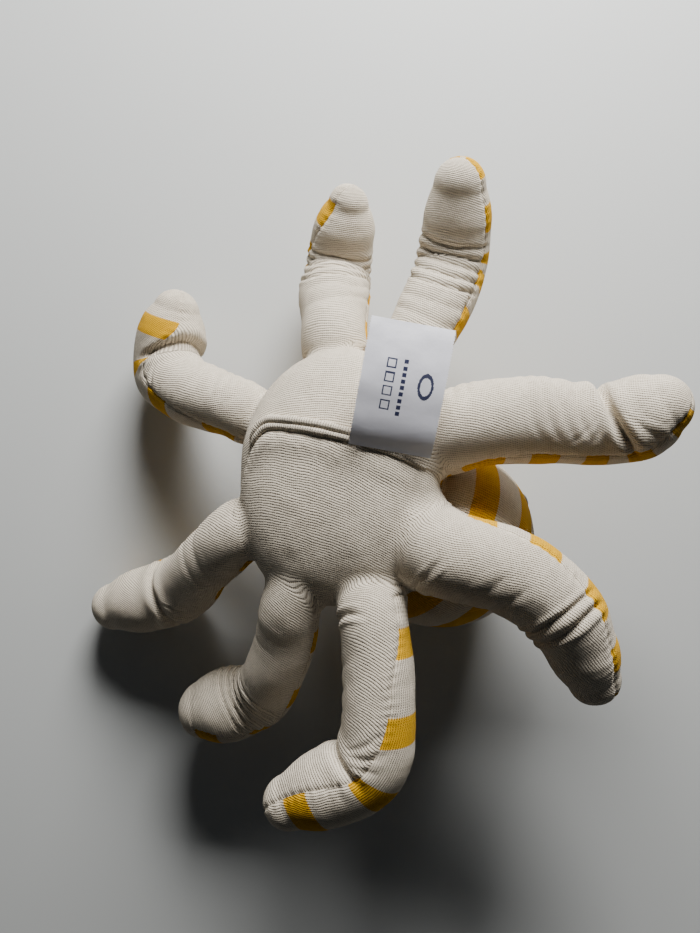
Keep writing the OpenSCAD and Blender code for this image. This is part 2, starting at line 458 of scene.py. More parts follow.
class Mesh:
    """Points, polygons, and one row of values per point."""

    def __init__(self, points, faces):
        self.points = points
        self.faces = [tuple(f) for f in faces.tolist()]
        self.columns = {}

    def cut(self, values, allowed=None):
        """Splits the polygons along the line where values is 0."""
        near = np.abs(values) < 1e-6
        values = np.where(near, 1e-6, values)
        positive = values > 0
        new_faces, cuts, rows = [], {}, []
        count = len(self.points)
        for face in self.faces:
            signs = [positive[v] for v in face]
            if all(signs) or not any(signs) or (allowed is not None
                                                and len({allowed[v] for v in face}) > 1):
                new_faces.append(face)
                continue
            halves = {True: [], False: []}
            for a, b in zip(face, face[1:] + face[:1]):
                halves[bool(positive[a])].append(a)
                if positive[a] != positive[b]:
                    key = (min(a, b), max(a, b))
                    if key not in cuts:
                        cuts[key] = count + len(rows)
                        lo, hi = key
                        rows.append((lo, hi, values[lo] / (values[lo] - values[hi])))
                    halves[True].append(cuts[key])
                    halves[False].append(cuts[key])
            new_faces += [tuple(h) for h in halves.values() if len(h) > 2]
        if rows:
            lo, hi, t = (np.array(c) for c in zip(*rows))
            blend = lambda c: np.concatenate([c, c[lo] + (c[hi] - c[lo]) * (
                t[:, None] if c.ndim > 1 else t)])
            self.points = blend(self.points)
            for name, column in self.columns.items():
                if column.dtype.kind == "i":
                    self.columns[name] = np.concatenate([column, column[lo]])
                else:
                    self.columns[name] = blend(column)
        self.faces = new_faces

    def corners(self):
        """All faces' corners in one row, with each face's size and start in it."""
        sizes = np.array([len(f) for f in self.faces])
        flat = np.concatenate([np.array(f) for f in self.faces])
        return flat, sizes, np.concatenate([[0], np.cumsum(sizes)[:-1]])

    def normals(self):
        flat, sizes, starts = self.corners()
        nxt = np.arange(len(flat)) + 1
        nxt[starts + sizes - 1] = starts
        area = np.cross(self.points[flat], self.points[flat[nxt]])
        face = np.add.reduceat(area, starts, axis=0)
        total = summed(flat, np.repeat(face, sizes, axis=0), len(self.points))
        return total / np.maximum(np.linalg.norm(total, axis=1), 1e-9)[:, None]

    def centres(self, values):
        """The mean of a column over each face."""
        flat, sizes, starts = self.corners()
        return np.add.reduceat(values[flat].astype(float), starts, axis=0) / sizes


def net_mesh(field):
    points, quads = surface_net(field)
    return Mesh(relax(points, quads), quads)


def make_object(name, points, faces, material, normals=None, columns=None):
    """A Blender object from points in millimetres."""
    mesh = bpy.data.meshes.new(name)
    mesh.from_pydata((points * MM).tolist(), [], faces)
    mesh.polygons.foreach_set("use_smooth", np.ones(len(faces), bool))
    for key, column in (columns or {}).items():
        attribute = mesh.attributes.new(key, "FLOAT_VECTOR", "POINT")
        padded = np.zeros((len(points), 3), np.float32)
        padded[:, :column.shape[1]] = column
        attribute.data.foreach_set("vector", padded.ravel())
    mesh.materials.append(material)
    if normals is not None:
        mesh.normals_split_custom_set_from_vertices(normals.tolist())
    thing = bpy.data.objects.new(name, mesh)
    bpy.context.scene.collection.objects.link(thing)
    return thing


def thin_piece(name, points, faces, out, thickness, material, columns):
    """A sheet of cloth with its thickness: the faces, their backs, and a band along the rim."""
    count = len(points)
    edges = {(a, b): True for f in faces for a, b in zip(f, f[1:] + f[:1])}
    band = [(b, a, a + count, b + count) for a, b in edges if (b, a) not in edges]
    backs = [tuple(v + count for v in reversed(f)) for f in faces]
    return make_object(name, np.concatenate([points, points - out * thickness]),
                       faces + backs + band, material, np.concatenate([out, -out]),
                       {k: np.concatenate([c, c]) for k, c in columns.items()})


def skin(name, whole, normals, chosen, material, columns):
    """One panel of cloth from the chosen faces of the whole."""
    faces = [whole.faces[k] for k in np.flatnonzero(chosen)]
    used = np.unique(np.concatenate([np.array(f) for f in faces]))
    renumber = np.full(len(whole.points), -1)
    renumber[used] = np.arange(len(used))
    faces = [tuple(int(renumber[v]) for v in f) for f in faces]
    return thin_piece(name, whole.points[used], faces, normals[used], CLOTH, material,
                      {k: c[used] for k, c in columns.items()})


# ---- the soft body

def root_fillet(points):
    """How softly the dome runs on into the legs: most at the two legs of its +X side."""
    return 3 + 6.5 * smoothstep(20, 34, ((points - BASE_AT) @ BASE_AXES)[:, 0])


def body_field():
    """The distance field of the dome and the eight legs."""
    ends = np.concatenate([line.points for line in LINES.values()])
    field = Field(ends.min(0) - 22, ends.max(0) + 22)
    for line in LINES.values():
        for k in range(len(line.points) - 1):
            a, b = line.points[k], line.points[k + 1]
            ra, rb = line.radii[k], line.radii[k + 1]
            pad = max(ra, rb) + 9
            field.join(capsule_distance(a, b, ra, rb), np.minimum(a, b) - pad,
                       np.maximum(a, b) + pad)
    reach = max(DOME_HALF) + 14
    field.join(dome_distance, BASE_AT - reach, BASE_AT + reach, soft=root_fillet)
    field.rest_on_table()
    return field


def seam_line(x):
    """Y of the closing seam at X, both in the dome's own plane from its centre."""
    t = x + 20
    return 13 - 0.13 * t - 0.0022 * t * t - 0.085 * np.maximum(-22 - x, 0) ** 2


COLLAR_BAND = 7.0                   # depth of the collar's yellow band below the rim
PUCKER_PITCH = 3.4                  # between the puckers along a leg's seams
TRENCH_AT, LIP_AT = 1.3, 6.0        # distances from the closing seam, on its lower side


def wale_line_upper(x):
    """How far a wale of the upper half has risen at X."""
    left, t = np.clip(-45 - x, 0, 35), np.clip(x + 60, 0, 50)
    return -0.3 * left * left / 70 - 0.3 * t * t / 100 - 0.3 * np.maximum(x + 10, 0)


def wale_line_lower(x):
    t = np.clip(x + 82, 0, 55)
    return -0.45 * t * t / 110 - 0.45 * np.maximum(x + 27, 0)


def survey(points):
    """Where each point is on its leg and on the dome: a dictionary of columns."""
    count = len(points)
    best = np.full(count, np.inf)
    leg = np.zeros(count, int)
    rows = np.zeros((count, 5))
    for number, line in LINES.items():
        low, high = line.points.min(0) - 26, line.points.max(0) + 26
        near = np.flatnonzero(((points > low) & (points < high)).all(1))
        d, row = line.measure(points[near])
        closer = d < best[near]
        best[near[closer]] = d[closer]
        leg[near[closer]] = number
        rows[near[closer]] = row[closer]
    q = on_dome(points)
    weight = smoothstep(-3, 5, dome_distance(points) - best)
    data = dict(zip(("place", "cloth_place", "cream", "across", "radius"), rows.T))
    from_line = np.hypot(data["cream"], data["across"])
    side_on_leg = data["cream"] / np.maximum(from_line, 1e-6)
    side_on_dome = np.clip((q[:, 2] + 2) / 15, -1, 1)
    side = weight * side_on_leg + (1 - weight) * side_on_dome
    seam = q[:, 1] - seam_line(q[:, 0])
    seam = np.where(weight < 0.6, seam, np.where(leg <= 4, 30.0, -30.0))
    return dict(data, leg=leg, weight=weight, side=side, seam=seam)


def each_leg(data):
    """Each leg's number and line, which points are its own, and their rows of the data."""
    for number, line in LINES.items():
        mine = data["leg"] == number
        yield number, line, mine, {k: v[mine] for k, v in data.items()}


def split_place(line):
    """Where the thigh's skin meets the tip's, midway between the stretch at the root and the
    stretch around the knee.
    """
    return (ROOT_STRETCH[1] + line.thigh_length - KNEE_REACH) / 2


def zone_values(data):
    """Distance past each leg's root, and past the middle of its thigh."""
    middles = np.array([0] + [split_place(LINES[n]) for n in LINES])
    on_leg = data["leg"] > 0
    root = np.where(on_leg, data["place"] - 0.5, -10)
    middle = np.where(on_leg, data["place"] - middles[data["leg"]], -10)
    return root, middle


def ridge(phase):
    """Round folds with sharp valleys between them, from -0.62 to 0.38."""
    return np.abs(np.sin(math.pi * phase)) ** 0.75 - 0.62


def fan_folds(line, data, points, seed):
    """Folds that spread from the inside of the knee like a fan, on both sides of a main crease."""
    folds, depth, reach, half_angle, crease = line.leg.fan
    inner, along = unit(line.tip - line.thigh), unit(line.thigh + line.tip)
    middle = line.points[np.argmin(np.abs(line.places - line.thigh_length + 2))]
    corner = middle + inner * line.leg.radii[2] * 0.95
    q = points - corner
    x, y = -(q @ inner), q @ along
    distance, angle = np.hypot(x, y), np.degrees(np.arctan2(y, x))
    phase = folds * angle / 180 + 0.4 * lumps(points, 12, seed)
    ends = 1 - smoothstep(reach * 0.55, reach, distance)
    fade = np.clip(distance / 14, 0, 1) * ends
    fade = fade * (1 - smoothstep(half_angle * 0.8, half_angle * 1.25, np.abs(angle)))
    from_crease = y - 0.012 * x * x + 0.6 * lumps(points, 9, seed + 50)
    main = 0.45 * bell(np.abs(from_crease) - 3.6, 2.4) - bell(from_crease, 1.3)
    fans = depth * ridge(phase) * fade * (1 - 0.6 * bell(from_crease, 3))
    return (fans + crease * main * ends) * smoothstep(-0.55, 0.15, data["side"])


def row_folds(line, row, data, points, seed):
    """Folds side by side across a leg."""
    place, spacing, count, depth, angle, width = row
    around = np.degrees(np.arctan2(data["across"], data["cream"]))
    along = data["place"] - place - 0.8 * line.lag(data, 0.5)
    phase = along / spacing + 0.5 * (count % 2 == 0) + 0.3 * lumps(points, 12, seed)
    half = count * spacing / 2
    fade = 1 - smoothstep(half * 0.75, half * 1.15, np.abs(along))
    fade_round = 1 - smoothstep(width * 0.6, width, np.abs(around - angle))
    return depth * ridge(phase) * fade * fade_round


def relief(points, data):
    """How far the cloth stands out of the smooth body: folds, seams and lumps of filling."""
    out = 0.45 * lumps(points, 15, 1) * (0.4 + 0.6 * data["weight"]) + 0.16 * lumps(points, 5.5, 2)
    for number, line, mine, where in each_leg(data):
        fade = smoothstep(-4, 4, where["place"])
        if line.leg.fan:
            out[mine] += fan_folds(line, where, points[mine], 10 + number) * fade
        for row in line.leg.rows:
            out[mine] += row_folds(line, row, where, points[mine], 20 + number)
    from_seam = np.abs(np.arcsin(np.clip(data["side"], -1, 1))) * np.where(
        data["leg"] > 0, np.maximum(data["radius"], 8), 14)
    pucker = np.sin(2 * math.pi * data["cloth_place"] / PUCKER_PITCH + 3 * lumps(points, 9, 3))
    out -= 0.6 * bell(from_seam, 1.0)
    out += 0.16 * pucker * bell(from_seam, 3.2)
    on_dome = (data["weight"] < 0.6) & (data["side"] > 0)
    seam = data["seam"]
    out -= on_dome * (0.5 * bell(seam + TRENCH_AT, 1.2) - 0.6 * bell(seam + LIP_AT, 4))
    gathers = ridge(lumps(points, 7, 4) * 1.3 + (points[:, 0] + 0.4 * points[:, 1]) / 5.5)
    return out + on_dome * 0.4 * gathers * bell(seam + 4, 5) * (0.5 + 0.5 * lumps(points, 14, 7))


def profile_run(height):
    """Length along the dome's profile, in rim radii, from its top to each of 200 places."""
    t = np.linspace(0, 1, 200)
    rise = height / DOME_HALF.mean() * (1 - t ** PUFF) ** (1 / PUFF)
    return t, run(np.stack([t, rise], 1))


def flattened(points):
    """Places on the dome, as they lie in its cloth when that is spread flat."""
    q, _, flat, k = dome_shape(points)
    at = np.maximum(flat, 1e-6) / k
    t, above = profile_run(DOME_RISE)
    _, below = profile_run(DOME_DROP)
    length = np.where(q[:, 2] > 0, np.interp(at, t, above),
                      above[-1] + below[-1] - np.interp(at, t, below))
    return BASE_AT[:2] + q[:, :2] * (length / np.maximum(flat, 1e-6))[:, None]


def knit_columns(points, data):
    """Where each point is in the flat cloth: across the wales, along them, and from a stripe."""
    plane = np.zeros((len(points), 2))
    for _, line, mine, where in each_leg(data):
        turn = math.atan2(line.thigh[1], line.thigh[0]) + math.radians(line.leg.grain)
        heading = np.array([math.cos(turn), math.sin(turn)])
        left = np.array([-heading[1], heading[0]])
        angle = np.arctan2(where["across"], where["cream"])
        from_line = np.hypot(where["across"], where["cream"])
        sideways = from_line * (math.radians(line.leg.rolls[0]) - angle)
        place = where["place"] - 0.85 * line.lag(where, 0)
        at = place[:, None] * heading + sideways[:, None] * left
        near = (np.abs(where["weight"] - 0.5) < 0.3) & (where["side"] > 0.3)
        plane[mine] = at + (flattened(points[mine][near]) - at[near]).mean(0)
    w = data["weight"][:, None]
    plane = plane * w + flattened(points) * (1 - w)
    x, y = plane.T
    zero = np.zeros(len(points))
    around = np.arctan2(-data["across"], -data["cream"]) * np.hypot(data["across"], data["cream"])
    first = np.array([0] + [LINES[n].leg.bands[0] for n in LINES])[data["leg"]]
    pitch = np.array([28] + [LINES[n].leg.bands[1] for n in LINES])[data["leg"]]
    along = data["cloth_place"]
    from_band = from_stripes(along, first, pitch)
    below_rim = -((points - BASE_AT) @ BASE_AXES)[:, 2]
    from_band = from_band * w[:, 0] + np.abs(below_rim - COLLAR_BAND) * (1 - w[:, 0])
    return dict(upper=np.stack([y - wale_line_upper(x), x, zero], 1),
                lower=np.stack([y - wale_line_lower(x), x, zero], 1),
                striped=np.stack([around, along, from_band], 1))


# ---- materials

class Value:
    """A node's output in plain arithmetic, which makes the math nodes."""

    def __init__(self, shader, socket):
        self.shader, self.socket = shader, socket

    def __add__(self, other):
        return self.shader.math("ADD", self, other)

    def __radd__(self, other):
        return self.shader.math("ADD", other, self)

    def __sub__(self, other):
        return self.shader.math("SUBTRACT", self, other)

    def __rsub__(self, other):
        return self.shader.math("SUBTRACT", other, self)

    def __mul__(self, other):
        return self.shader.math("MULTIPLY", self, other)

    def __truediv__(self, other):
        return self.shader.math("DIVIDE", self, other)


class Shader:
    """A material whose nodes are made with short calls; a number or a Value goes in anywhere."""

    def __init__(self, name, roughness, sheen=0.0, specular=0.3):
        self.material = bpy.data.materials.new(name)
        self.material.use_nodes = True
        self.tree = self.material.node_tree
        self.surface = self.tree.nodes["Principled BSDF"].inputs
        for key, value in (("Roughness", roughness), ("Sheen Weight", sheen),
                           ("Sheen Roughness", 0.5), ("Specular IOR Level", specular)):
            self.surface[key].default_value = value

    def put(self, socket, value):
        if isinstance(value, Value):
            self.tree.links.new(value.socket, socket)
        elif isinstance(value, tuple) and len(value) == 3 and socket.type == "RGBA":
            socket.default_value = (*value, 1)
        else:
            socket.default_value = value

    def node(self, kind, inputs, output=0, **settings):
        node = self.tree.nodes.new("ShaderNode" + kind)
        for key, value in settings.items():
            setattr(node, key, value)
        for key, value in inputs.items():
            self.put(node.inputs[key], value)
        return Value(self, node.outputs[output])

    def math(self, operation, *values):
        return self.node("Math", dict(enumerate(values)), operation=operation)

    def ramp(self, value, low, high, start=0.0, end=1.0):
        return self.node("MapRange", {"Value": value, "From Min": low, "From Max": high,
                                      "To Min": start, "To Max": end},
                         interpolation_type="SMOOTHSTEP")

    def mix(self, share, a, b):
        return self.node("Mix", {0: share, 6: a, 7: b}, output=2, data_type="RGBA")

    def attribute(self, name):
        return self.node("Attribute", {}, output="Vector", attribute_name=name)

    def split(self, vector):
        """X, Y and Z of a vector."""
        outputs = self.node("SeparateXYZ", {0: vector}).socket.node.outputs
        return [Value(self, socket) for socket in outputs]

    def noise(self, vector, scale, detail=2.0, roughness=0.5):
        return self.node("TexNoise", {"Vector": vector, "Scale": scale, "Detail": detail,
                                      "Roughness": roughness}, output="Fac")

    def random(self, x, y):
        """A number from 0 to 1 of its own for each whole X and Y."""
        pair = self.node("CombineXYZ", {0: x, 1: y})
        return self.node("TexWhiteNoise", {"Vector": pair}, output="Value",
                         noise_dimensions="2D")

    def bump(self, height, distance):
        bump = self.node("Bump", {"Distance": distance * MM, "Strength": 1.0, "Height": height})
        self.put(self.surface["Normal"], bump)

    def color(self, value):
        self.put(self.surface["Base Color"], value)


WALE, COURSE = 0.98, 0.82           # a stitch's width and height
BAND_HALF = 5.5                     # half the width of a yellow band


def knit(shader, light, dark, band=None):
    """Plain knit jersey: columns of slanted stitches, with painted shade in the dark dashes between
    them.
    """
    m, rest = shader.math, shader.attribute("rest")
    across, along, from_band = shader.split(shader.attribute("knit"))
    wobble = (shader.noise(rest, 0.4) - 0.5) * 0.55
    sway = (shader.noise(rest, 0.07, 1.0) - 0.5) * 2.4
    column = across / WALE + (wobble + sway)
    row = along / COURSE + wobble * 1.3
    edge = m("ABSOLUTE", m("FRACT", column) - 0.5) * 2.0
    slant = row - edge * 0.5
    dash = m("COSINE", slant * (2 * math.pi)) * 0.5 + 0.5
    own = shader.random(m("FLOOR", column), m("FLOOR", slant))
    # groove and hole mark the hollows between the wales and inside the stitches: in the colour they
    # are painted shade, and in the bump they are depth.
    groove = shader.ramp(edge, 0.3, 0.95)
    hole = groove * shader.ramp(dash, 0.1, 0.8) * (0.55 + own * 0.6)
    fibre = shader.noise(rest, 3.2, 3.0, 0.7)
    stain = shader.noise(rest, 0.05, 2.0)
    patch = shader.noise(rest, 0.22, 3.0, 0.6)
    # Darkening of the colour: painted shade in the holes and grooves, plus random tone of the
    # fibres, patches, stitches and stains.
    shade = (hole * 0.8 + groove * 0.16 + (fibre - 0.5) * 0.4 + (patch - 0.45) * 0.3
             + (own - 0.5) * 0.12 + shader.ramp(stain, 0.35, 0.75, -0.04, 0.08))
    color = shader.mix(shade, light, dark)
    if band:
        border = BAND_HALF + (edge - 0.5) * 0.5
        inside = shader.ramp(border - from_band, -0.2, 0.2)
        color = shader.mix(inside, color, shader.mix(shade, *band))
    shader.color(color)
    shader.bump(1.0 - groove * 0.55 - hole * 0.5 - dash * 0.12 + fibre * 0.6, 0.3)
    return shader.material


# The dark colours hold the painted shade of the stitch hollows and the yarn's random darker tone.
CREAM, CREAM_SHADE = (0.76, 0.677, 0.55), (0.30, 0.245, 0.18)
YELLOW, YELLOW_SHADE = (0.74, 0.41, 0.008), (0.40, 0.15, 0.003)


# ---- panels of the body

def replace_nodes(nodes):
    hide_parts(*nodes)


def body_mesh():
    """The soft body, cut along its seams, with its columns of data."""
    mesh = net_mesh(body_field())
    mesh.columns = survey(mesh.points)
    mesh.cut(mesh.columns["side"])
    mesh.cut(mesh.columns["seam"])
    for k in (0, 1):
        mesh.cut(zone_values(mesh.columns)[k], mesh.columns["leg"])
    return mesh


def make_body(cream, striped):
    mesh = body_mesh()
    data = mesh.columns
    rest = mesh.points.copy()
    knits = knit_columns(rest, data)
    out = mesh.normals()
    mesh.points = rest + out * relief(rest, data)[:, None]
    mesh.points[:, 2] = np.maximum(mesh.points[:, 2], BODY_FLOOR)
    out = mesh.normals()
    root, middle = (mesh.centres(v) for v in zone_values(data))
    sizes = mesh.centres(data["side"])
    seam = mesh.centres(data["seam"])
    face_leg = np.array([np.bincount(data["leg"][list(f)]).argmax() for f in mesh.faces])
    torso, thigh, tip = root < 0, (root >= 0) & (middle < 0), (root >= 0) & (middle >= 0)
    under = sizes > 0

    def panel(name, chosen, material, which, nodes):
        piece = skin(name, mesh, out, chosen, material, dict(knit=knits[which], rest=rest))
        replace_nodes(nodes)
        return piece

    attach(panel("upper_underside_skin", torso & under & (seam > 0), cream, "upper",
                  ["upper_underside_panel", "base_filling"]), "torso")
    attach(panel("lower_underside_skin", torso & under & (seam <= 0), cream, "lower",
                  ["lower_underside_panel"]), "torso")
    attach(panel("collar_skin", torso & ~under, striped, "striped", []),
            "torso")
    for number, line in LINES.items():
        mine = face_leg == number
        half = "upper" if number <= 4 else "lower"
        reach = unit(line.thigh + line.tip) * KNEE_REACH
        for link, zone, before, start, end in (
                ("thigh", thigh, "torso", *(line.root + line.thigh * at for at in ROOT_STRETCH)),
                ("tip", tip, f"leg_{number}_thigh", line.knee - reach, line.knee + reach)):
            prefix = f"leg_{number}_{link}"
            pieces = [
                panel(f"{prefix}_under_skin", mine & zone & under, cream, half,
                      [f"{prefix}_under_panel", f"{prefix}_filling"]),
                panel(f"{prefix}_top_skin", mine & zone & ~under, striped, "striped",
                      [f"{prefix}_top_panel"])]
            for piece in pieces:
                tuple(start * MM)
                tuple(end * MM)
                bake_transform(piece)
    return mesh


# ---- head

CROWN = unit(np.array([0.805, -0.484, -0.342]))     # towards the middle of the head's stripes
HEAD_STRIPES = (21.0, 24.0)                         # the first one's place, and the pitch
NECK_SEAM = 27.0                                    # from the head's centre


def make_head(striped):
    """The head and its neck: one net, cut where the neck is sewn on."""
    low = np.minimum(HEAD_AT - HEAD_R, BASE_AT - NECK_R) - 6
    high = np.maximum(HEAD_AT + HEAD_R, BASE_AT + NECK_R) + 6
    field = Field(low, high)
    field.join(head_distance, low, high)
    field.rest_on_table(0.3, 3.0)
    mesh = net_mesh(field)
    mesh.columns = {"neck": (mesh.points - HEAD_AT) @ unit(BASE_AT - HEAD_AT) - NECK_SEAM}
    mesh.cut(mesh.columns["neck"])
    rest = mesh.points.copy()
    out = mesh.normals()
    lift = 0.5 * lumps(rest, 18, 5) + 0.15 * lumps(rest, 6, 6)
    lift -= 0.9 * bell(mesh.columns["neck"], 1.4)
    mesh.points = rest + out * lift[:, None]
    mesh.points[:, 2] = np.maximum(mesh.points[:, 2], HEAD_FLOOR)
    out = mesh.normals()
    side = unit(np.cross(CROWN, UP))
    top = np.cross(side, CROWN)
    q = rest - HEAD_AT
    along = np.arccos(np.clip(q @ CROWN / np.linalg.norm(q, axis=1), -1, 1)) * HEAD_R
    around = np.arctan2(q @ side, q @ top) * HEAD_R * 0.9
    from_band = from_stripes(along, *HEAD_STRIPES)
    columns = dict(knit=np.stack([around, along, from_band], 1), rest=rest)
    neck = mesh.centres(mesh.columns["neck"])
    hidden = mesh.centres(dome_distance(mesh.points)) < -3
    head = skin("head_skin", mesh, out, (neck < 0) & ~hidden, striped, columns)
    replace_nodes(["head_cover", "head_filling"])
    collar = skin("neck_skin", mesh, out, (neck >= 0) & ~hidden, striped, columns)
    replace_nodes(["neck_cover", "neck_filling"])
    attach(head, "torso")
    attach(collar, "torso")


# ---- closing seam and label

class Surface:
    """Where the finished body lies under a place of the dome's own plane."""

    def __init__(self, mesh):
        self.tree = BVHTree.FromPolygons(mesh.points.tolist(), mesh.faces)

    def at(self, x, y):
        above = BASE_AT + BASE_AXES @ np.array([x, y, 60.0])
        hit, normal, _, _ = self.tree.ray_cast(Vector(above), Vector(-BASE_AXES[:, 2]))
        return np.array(hit), np.array(normal)


def tube(path, normals, radii, sides=10):
    """A closed tube along a path: points, faces, and the place and angle of each point."""
    ahead = unit_rows(np.gradient(path, axis=0))
    side = unit_rows(np.cross(ahead, normals))
    up = np.cross(side, ahead)
    turn = np.linspace(0, 2 * math.pi, sides, endpoint=False)
    ring = (np.cos(turn)[None, :, None] * side[:, None]
            + np.sin(turn)[None, :, None] * up[:, None])
    points = (path[:, None] + ring * radii[:, None, None]).reshape(-1, 3)
    count = len(path)
    faces = [(k * sides + j, k * sides + (j + 1) % sides, (k + 1) * sides + (j + 1) % sides,
              (k + 1) * sides + j) for k in range(count - 1) for j in range(sides)]
    faces += [tuple(reversed(range(sides))), tuple(range((count - 1) * sides, count * sides))]
    places = np.repeat(run(path), sides)
    around = np.tile(turn, count) * np.repeat(radii, sides)
    return points, faces, np.stack([places, around, np.zeros_like(places)], 1)


SEAM_START = -31.5
# Each roll of the seam: offset towards the upper half, height above the cloth, radius, and end.
SEAM_ROLLS = ((0.1, 0.05, 1.5, 36.0), (2.8, 0.3, 1.8, 14.0))


def make_closing_seam(surface, cream):
    points, faces, knits = [], [], []
    for offset, height, radius, end in SEAM_ROLLS:
        xs = np.linspace(SEAM_START, end, 150)
        hits = [surface.at(x, seam_line(x) + offset) for x in xs]
        path, normals = (smoothed(np.array(rows), 12) for rows in zip(*hits))
        thin = 1 - 0.45 * smoothstep(-5, 30, xs)
        radii = radius * thin * (1 + 0.16 * lumps(path, 5, 31)) * np.sqrt(
            np.clip((xs - xs[0] + 0.3) / 3, 0, 1) * np.clip((end + 0.3 - xs) / 6, 0, 1))
        path = path + normals * (height * thin + 0.3 * lumps(path, 7, 32))[:, None]
        ring, quads, knit_rows = tube(path, normals, radii)
        faces += [tuple(v + sum(map(len, points)) for v in q) for q in quads]
        points.append(ring)
        knits.append(knit_rows)
    points = np.concatenate(points)
    piece = make_object("closing_seam_roll", points, faces, cream,
                        columns=dict(knit=np.concatenate(knits), rest=points))
    replace_nodes(["closing_seam"])
    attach(piece, "torso")


LABEL_SIZE = (30.0, 46.0)
LABEL_THICK = 0.3
LABEL_SLIDE = (-0.8, -3.6)        # from the CAD label's middle, across and along it
LABEL_ARCH = 3.0                  # how far its middle stands above its ends
LABEL_TOOTH = (0.16, 0.9)         # depth and pitch of its cut edges' teeth
# Printed marks: left, bottom, width and height on the label from its lower left corner.
SQUARES = [(8.2, 14.5 + 4.9 * k, 3.6, 3.6) for k in range(4)]
LINES_OF_PRINT = [(14.2, 13.0 + 2.3 * k, 1.5, 1.5) for k in range(9)]
BIG_MARK = (20.3, 20.0, 5.6, 9.4)
LABEL_COLOR, PRINT_COLOR = (0.86, 0.86, 0.94), (0.03, 0.035, 0.09)


def label_axes():
    """Middle of the CAD label, and its directions across, along and up."""
    corners = np.unique(np.round(node_points("care_label"), 2), axis=0)
    middle = corners.mean(0)
    _, _, axes = np.linalg.svd(corners - middle)
    along, across, up = (axes[k] * np.sign(axes[k][c]) for k, c in ((0, 1), (1, 0), (2, 2)))
    return middle, across, along, up


def printed(u, v):
    """Plain marks: outlined squares, a row of short bars, and a large plain ring."""
    for x, y, w, h in SQUARES:
        if x < u < x + w and y < v < y + h:
            return not (x + 0.55 < u < x + w - 0.55 and y + 0.55 < v < y + h - 0.55)
    for x, y, w, h in LINES_OF_PRINT:
        if x < u < x + w and y < v < y + h:
            return True
    x, y, w, h = BIG_MARK
    d = math.hypot((u - x - w / 2) / (w / 2), (v - y - h / 2) / (h / 2))
    return 0.68 < d < 1


def satin(name, color):
    shader = Shader(name, 0.34, 0.15, 0.55)
    shader.surface["Anisotropic"].default_value = 0.5
    m, rest = shader.math, shader.attribute("rest")
    across, along, _ = shader.split(shader.attribute("knit"))
    weft = m("COSINE", along * (2 * math.pi / 0.3))
    warp = m("COSINE", (across + along * 0.4) * (2 * math.pi / 0.34))
    weave = weft * 0.3 + warp * 0.15
    cloud = shader.noise(rest, 0.2, 3.0)
    shade = weave * 0.1 + (cloud - 0.5) * 0.3
    shader.color(shader.mix(shade + 0.2, color, tuple(c * 0.78 for c in color)))
    shader.bump(weave * 0.5 + cloud * 1.2, 0.1)
    return shader.material


def make_label():
    middle, across, along, up = label_axes()
    middle = middle + across * LABEL_SLIDE[0] + along * LABEL_SLIDE[1]
    width, length = LABEL_SIZE
    nu, nv = (121, 185) if FINE else (41, 61)
    u, v = np.meshgrid(np.linspace(0, width, nu), np.linspace(0, length, nv))
    deep, pitch = LABEL_TOOTH
    tooth = (deep * np.sign(np.sin(2 * math.pi * v / pitch))
             * ((u == 0) * -1.0 + (u == width) * 1.0))
    a, b = u - width / 2 + tooth, v - length / 2
    flat = np.stack([a.ravel(), b.ravel(), np.zeros(a.size)], 1)
    curl = (0.9 * (a / 15) ** 2 * np.where(a < 0, 0.9, -0.5)
            + 0.9 * np.sin(v / length * 2.6 + 0.2)
            - 1.1 * bell(v, 4.0) + 0.9 * (v / length) ** 2)
    arch = LABEL_ARCH * (1 - (2 * v / length - 1) ** 2)
    height = (curl + arch).ravel() + 0.18 * lumps(flat, 7, 41)
    points = middle + np.outer(a.ravel(), across) + np.outer(b.ravel(), along)
    points = points + np.outer(height, up)
    corner = np.arange((nv - 1) * nu).reshape(nv - 1, nu)[:, :-1].ravel()
    mesh = Mesh(points, np.stack([corner, corner + 1, corner + nu + 1, corner + nu], 1))
    piece = thin_piece("care_label_sheet", points, mesh.faces, mesh.normals(), LABEL_THICK,
                       satin("satin_label", LABEL_COLOR), dict(knit=flat, rest=points))
    piece.data.materials.append(satin("label_print", PRINT_COLOR))
    xs = (u[:-1, :-1] + width / (nu - 1) / 2).ravel()
    ys = (v[:-1, :-1] + length / (nv - 1) / 2).ravel()
    for k, place in enumerate(zip(xs, ys)):
        if printed(*place):
            piece.data.polygons[k].material_index = 1
    replace_nodes(["care_label"])
    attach(piece, "torso")


# ---- eyes

EYE_R, EYE_RISE = 2.9, 0.9
THREAD = 0.42                       # from thread to thread of its stitches


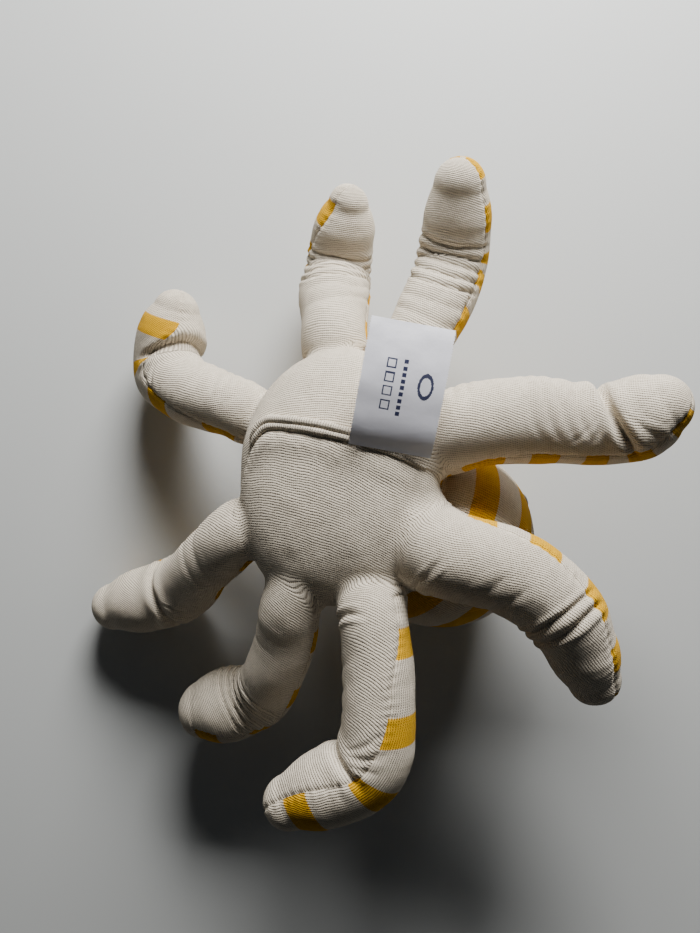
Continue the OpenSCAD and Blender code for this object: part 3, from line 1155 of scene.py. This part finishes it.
def make_eye(side, thread):
    """A dot of satin stitches: a low mound ribbed by its threads."""
    low, high = (np.array(c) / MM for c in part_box(f"{side}_eye"))
    out = unit((low + high) / 2 - HEAD_AT)
    right = unit(np.cross(UP, out))
    over = np.cross(out, right)
    rings, sides = 14, 72
    turn = np.linspace(0, 2 * math.pi, sides, endpoint=False)
    circle = np.stack([np.cos(turn), np.sin(turn)], 1)
    disc = np.concatenate([np.zeros((1, 2))] + [circle * k / rings for k in range(1, rings + 1)])
    radius = np.hypot(*disc.T)
    edge = 1 + 0.05 * np.sign(np.sin(disc[:, 1] * EYE_R * 2 * math.pi / THREAD)) * (radius > 0.95)
    flat = disc * EYE_R * edge[:, None]
    threads = 0.08 * np.abs(np.cos(flat[:, 1] * math.pi / THREAD))
    height = EYE_RISE * np.sqrt(np.maximum(1 - radius ** 2.4, 0)) + threads * (radius < 0.97)
    sunk = (HEAD_R + 0.2) - (flat ** 2).sum(1) / 2 / HEAD_R
    points = (HEAD_AT + np.outer(flat[:, 0], right) + np.outer(flat[:, 1], over)
              + np.outer(height + sunk, out))
    faces = [(0, 1 + j, 1 + (j + 1) % sides) for j in range(sides)]
    for k in range(rings - 1):
        a, b = 1 + k * sides, 1 + (k + 1) * sides
        faces += [(a + j, b + j, b + (j + 1) % sides, a + (j + 1) % sides) for j in range(sides)]
    faces.append(tuple(reversed(range(1 + (rings - 1) * sides, 1 + rings * sides))))
    piece = make_object(f"{side}_eye_stitches", points, faces, thread,
                        columns=dict(rest=points))
    replace_nodes([f"{side}_eye"])
    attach(piece, "torso")


def embroidery():
    shader = Shader("embroidery", 0.42, 0.2, 0.5)
    speck = shader.noise(shader.attribute("rest"), 3.0, 3.0, 0.7)
    shader.color(shader.mix(speck, (0.012, 0.009, 0.008), (0.045, 0.035, 0.03)))
    shader.bump(speck, 0.1)
    return shader.material


cream = knit(Shader("cream_jersey", 0.95, 0.08, 0.1), CREAM, CREAM_SHADE)
striped = knit(Shader("striped_jersey", 0.95, 0.03, 0.1), CREAM, CREAM_SHADE,
               (YELLOW, YELLOW_SHADE))
body = make_body(cream, striped)
make_closing_seam(Surface(body), cream)
make_label()
make_head(striped)
thread = embroidery()
for side in ("left", "right"):
    make_eye(side, thread)


# ---- floor, light and camera

# Metres and watts. The window stands at the photograph's top edge, and the camera looks down.
WINDOW_AT, WINDOW_AIM, WINDOW_SIZE = (0.07, 0.64, 0.35), (-0.03, 0.0, 0.03), (0.36, 0.26)
WINDOW_POWER, WINDOW_COLOR = 13.8, (1, 0.99, 0.97)
ROOM_COLOR, ROOM_LIGHT = (0.8, 0.85, 0.9, 1), 0.032
FLOOR_COLOR = (0.565, 0.58, 0.575)
CAMERA_AT, SENSOR, LENS = (-0.0386, 0.0294, 0.36), 36, 28.94


def add(name, data, at):
    thing = bpy.data.objects.new(name, data)
    thing.location = at
    bpy.context.scene.collection.objects.link(thing)
    return thing


def make_floor():
    bpy.ops.mesh.primitive_plane_add(size=3.0, location=(0, 0, 0))
    floor = bpy.context.object
    floor.name = "floor"
    shader = Shader("floor", 0.6, 0.0, 0.3)
    shader.color(FLOOR_COLOR)
    floor.data.materials.append(shader.material)


def make_window():
    light = bpy.data.lights.new("window", "AREA")
    light.shape, light.size, light.size_y = "RECTANGLE", *WINDOW_SIZE
    light.energy, light.color = WINDOW_POWER, WINDOW_COLOR
    direction = np.array(WINDOW_AIM) - np.array(WINDOW_AT)
    lamp = add("window", light, WINDOW_AT)
    lamp.rotation_euler = Vector(direction).to_track_quat("-Z", "Y").to_euler()


make_floor()
make_window()
world = bpy.data.worlds.new("room")
world.use_nodes = True
background = world.node_tree.nodes["Background"].inputs
background[0].default_value, background[1].default_value = ROOM_COLOR, ROOM_LIGHT
bpy.context.scene.world = world

camera = add("camera", bpy.data.cameras.new("camera"), CAMERA_AT)
camera.data.sensor_width, camera.data.lens = SENSOR, LENS
bpy.context.scene.camera = camera
